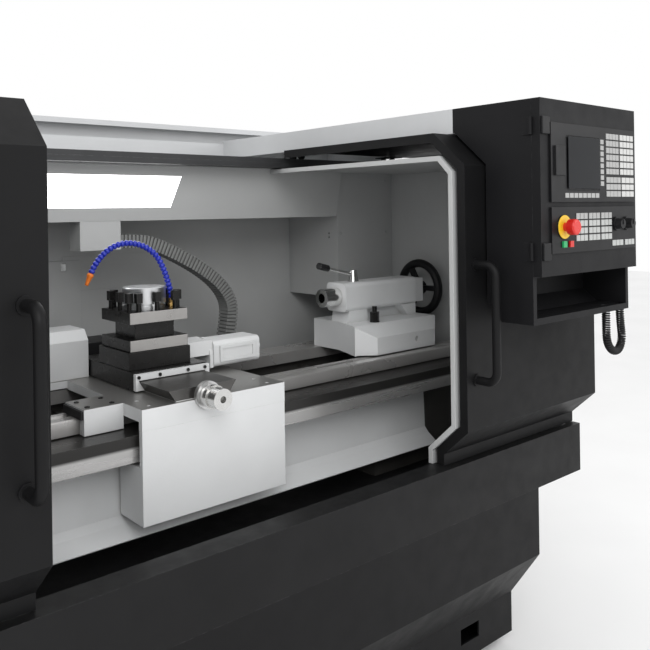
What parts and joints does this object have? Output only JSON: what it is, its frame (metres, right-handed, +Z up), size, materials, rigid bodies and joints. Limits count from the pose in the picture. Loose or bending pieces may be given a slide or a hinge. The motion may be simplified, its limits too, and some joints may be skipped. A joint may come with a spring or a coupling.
{
  "type": "cnc turning lathe",
  "caption": "Enclosed flat-bed CNC turning lathe with sliding doors, four-way tool turret, tailstock, jaw chuck and hanging control console.",
  "frame": {"origin": "centre of the footprint's bounding box, at floor level", "axes": "+X along the bed from headstock to tailstock, -Y towards the operator, +Z up"},
  "size_m": [2.44, 1.501, 1.647],
  "materials": {
    "black_powder_coat": "fine-textured satin",
    "grey_powder_coat": "satin",
    "silver_paint": "satin",
    "white_casting_paint": "semi-gloss",
    "ground_steel": "ground",
    "cast_iron_ground": "ground",
    "black_oxide": "black oxide",
    "bright_steel": "polished",
    "motor_black": "matt",
    "rubber_black": "matt",
    "led_white": "opal",
    "console_plastic": "matt",
    "keys_grey": "matt",
    "red_plastic": "gloss",
    "green_plastic": "gloss",
    "blue_plastic": "satin",
    "galvanised": "matt",
    "aluminium": "cast"
  },
  "bodies": {
    "machine": {"base_cabinet": "black_powder_coat", "levelling_feet": "galvanised", "coolant_tray": "black_powder_coat", "coolant_pump": "motor_black", "chip_pan": "white_casting_paint", "screw_guard": "black_powder_coat", "bed": "cast_iron_ground", "headstock": "white_casting_paint", "main_motor": "motor_black", "drive_belt": "rubber_black", "z_motor": "motor_black", "rear_enclosure": "grey_powder_coat", "left_hood": "grey_powder_coat", "right_hood": "grey_powder_coat", "roof_covers": "silver_paint", "door_rails": "silver_paint", "light_box": "grey_powder_coat", "led_panel": "led_white", "rear_column": "grey_powder_coat", "cable_chain": "keys_grey", "electrical_cabinet": "black_powder_coat", "console_body": "black_powder_coat", "curly_cord": "rubber_black"},
    "spindle": {"spindle": "ground_steel", "chuck_body": "ground_steel"},
    "jaw_1": {"chuck_jaw_1": "ground_steel"},
    "jaw_2": {"chuck_jaw_2": "ground_steel"},
    "jaw_3": {"chuck_jaw_3": "ground_steel"},
    "motor_pulley": {"motor_pulley": "ground_steel"},
    "z_screw": {"z_ballscrew": "bright_steel"},
    "carriage": {"saddle": "white_casting_paint", "apron": "white_casting_paint", "way_wipers": "rubber_black", "rear_cover": "grey_powder_coat", "x_motor": "motor_black"},
    "x_screw": {"x_ballscrew": "bright_steel"},
    "cross_slide": {"cross_slide": "black_oxide", "slide_end_plate": "white_casting_paint", "turret_base": "black_oxide", "turret_motor": "white_casting_paint"},
    "turret": {"turret_head": "black_oxide", "turret_cap": "aluminium", "turret_screws": "black_oxide", "coolant_hose": "blue_plastic"},
    "tailstock": {"tailstock_body": "white_casting_paint"},
    "tail_clamp": {"tailstock_clamp": "black_oxide"},
    "quill": {"quill": "bright_steel"},
    "handwheel": {"handwheel": "console_plastic"},
    "quill_lever": {"quill_lever": "bright_steel"},
    "left_door": {"left_door": "black_powder_coat"},
    "right_door": {"right_door": "black_powder_coat"},
    "console_door": {"console_door": "black_powder_coat", "controller_unit": "console_plastic", "control_plate": "console_plastic", "console_keys": "keys_grey"},
    "estop": {"estop_button": "red_plastic"},
    "start_button": {"start_button": "green_plastic"},
    "stop_button": {"stop_button": "red_plastic"},
    "feed_knob": {"feed_knob": "console_plastic"},
    "spindle_knob": {"spindle_knob": "console_plastic"}
  },
  "joints": [
    {"name": "spindle_spin", "type": "hinge", "parent": "machine", "child": "spindle", "pos_m": [-0.5, 0.107, 1.04], "axis": [1, 0, 0], "continuous": true},
    {"name": "motor_spin", "type": "hinge", "parent": "machine", "child": "motor_pulley", "pos_m": [-1, 0.45, 1.04], "axis": [1, 0, 0], "continuous": true},
    {"name": "jaw_1_slide", "type": "slide", "parent": "spindle", "child": "jaw_1", "axis": [0, 0, 1], "range_m": [-0.012, 0.007]},
    {"name": "jaw_2_slide", "type": "slide", "parent": "spindle", "child": "jaw_2", "axis": [0, -0.866, -0.5], "range_m": [-0.012, 0.007]},
    {"name": "jaw_3_slide", "type": "slide", "parent": "spindle", "child": "jaw_3", "axis": [0, 0.866, -0.5], "range_m": [-0.012, 0.007]},
    {"name": "z_screw_spin", "type": "hinge", "parent": "machine", "child": "z_screw", "pos_m": [0, -0.15, 0.767], "axis": [1, 0, 0], "range_deg": [-6121, 3601]},
    {"name": "carriage_slide", "type": "slide", "parent": "machine", "child": "carriage", "axis": [1, 0, 0], "range_m": [-0.17, 0.1]},
    {"name": "x_screw_spin", "type": "hinge", "parent": "carriage", "child": "x_screw", "pos_m": [0.016, 0, 0.893], "axis": [0, 1, 0], "range_deg": [-3601, 1441]},
    {"name": "cross_slide_travel", "type": "slide", "parent": "carriage", "child": "cross_slide", "axis": [0, 1, 0], "range_m": [-0.1, 0.04]},
    {"name": "turret_index", "type": "hinge", "parent": "cross_slide", "child": "turret", "pos_m": [0.004, 0.064, 1], "axis": [0, 0, 1], "continuous": true},
    {"name": "tailstock_slide", "type": "slide", "parent": "machine", "child": "tailstock", "axis": [1, 0, 0], "range_m": [-0.1, 0.04]},
    {"name": "tail_clamp_turn", "type": "hinge", "parent": "tailstock", "child": "tail_clamp", "pos_m": [0.812, 0.02, 0.96], "axis": [0, 0, 1], "range_deg": [-180, 180]},
    {"name": "handwheel_turn", "type": "hinge", "parent": "tailstock", "child": "handwheel", "pos_m": [1.1, 0.107, 1.04], "axis": [1, 0, 0], "range_deg": [-2159, 7200]},
    {"name": "quill_feed", "type": "slide", "parent": "tailstock", "child": "quill", "axis": [-1, 0, 0], "range_m": [-0.03, 0.1]},
    {"name": "quill_lever_turn", "type": "hinge", "parent": "tailstock", "child": "quill_lever", "pos_m": [0.798, 0.107, 1.04], "axis": [0, 0, 1], "range_deg": [-45, 30]},
    {"name": "left_door_slide", "type": "slide", "parent": "machine", "child": "left_door", "axis": [1, 0, 0], "range_m": [-0.12, 0.476]},
    {"name": "right_door_slide", "type": "slide", "parent": "machine", "child": "right_door", "axis": [1, 0, 0], "range_m": [-0.596, 0]},
    {"name": "console_door_hinge", "type": "hinge", "parent": "machine", "child": "console_door", "pos_m": [0.672, -0.68, 1.375], "axis": [0, 0, 1], "range_deg": [-100, 0]},
    {"name": "estop_push", "type": "slide", "parent": "console_door", "child": "estop", "axis": [0, 1, 0], "range_m": [0, 0.005]},
    {"name": "start_push", "type": "slide", "parent": "console_door", "child": "start_button", "axis": [0, 1, 0], "range_m": [0, 0.003], "stiffness_N_per_m": 300},
    {"name": "stop_push", "type": "slide", "parent": "console_door", "child": "stop_button", "axis": [0, 1, 0], "range_m": [0, 0.003], "stiffness_N_per_m": 300},
    {"name": "feed_knob_turn", "type": "hinge", "parent": "console_door", "child": "feed_knob", "pos_m": [1.027, -0.711, 1.278], "axis": [0, 1, 0], "range_deg": [-150, 150]},
    {"name": "spindle_knob_turn", "type": "hinge", "parent": "console_door", "child": "spindle_knob", "pos_m": [1.083, -0.711, 1.278], "axis": [0, 1, 0], "range_deg": [-150, 150]}
  ],
  "couplings": [
    {"joint": "motor_spin", "follows": "spindle_spin", "ratio": 1.4444},
    {"joint": "jaw_2_slide", "follows": "jaw_1_slide", "ratio": 1},
    {"joint": "jaw_3_slide", "follows": "jaw_1_slide", "ratio": 1},
    {"joint": "z_screw_spin", "follows": "carriage_slide", "rad_per_m": 628.32},
    {"joint": "x_screw_spin", "follows": "cross_slide_travel", "rad_per_m": 628.32},
    {"joint": "quill_feed", "follows": "handwheel_turn", "m_per_rad": 0.00079577}
  ]
}
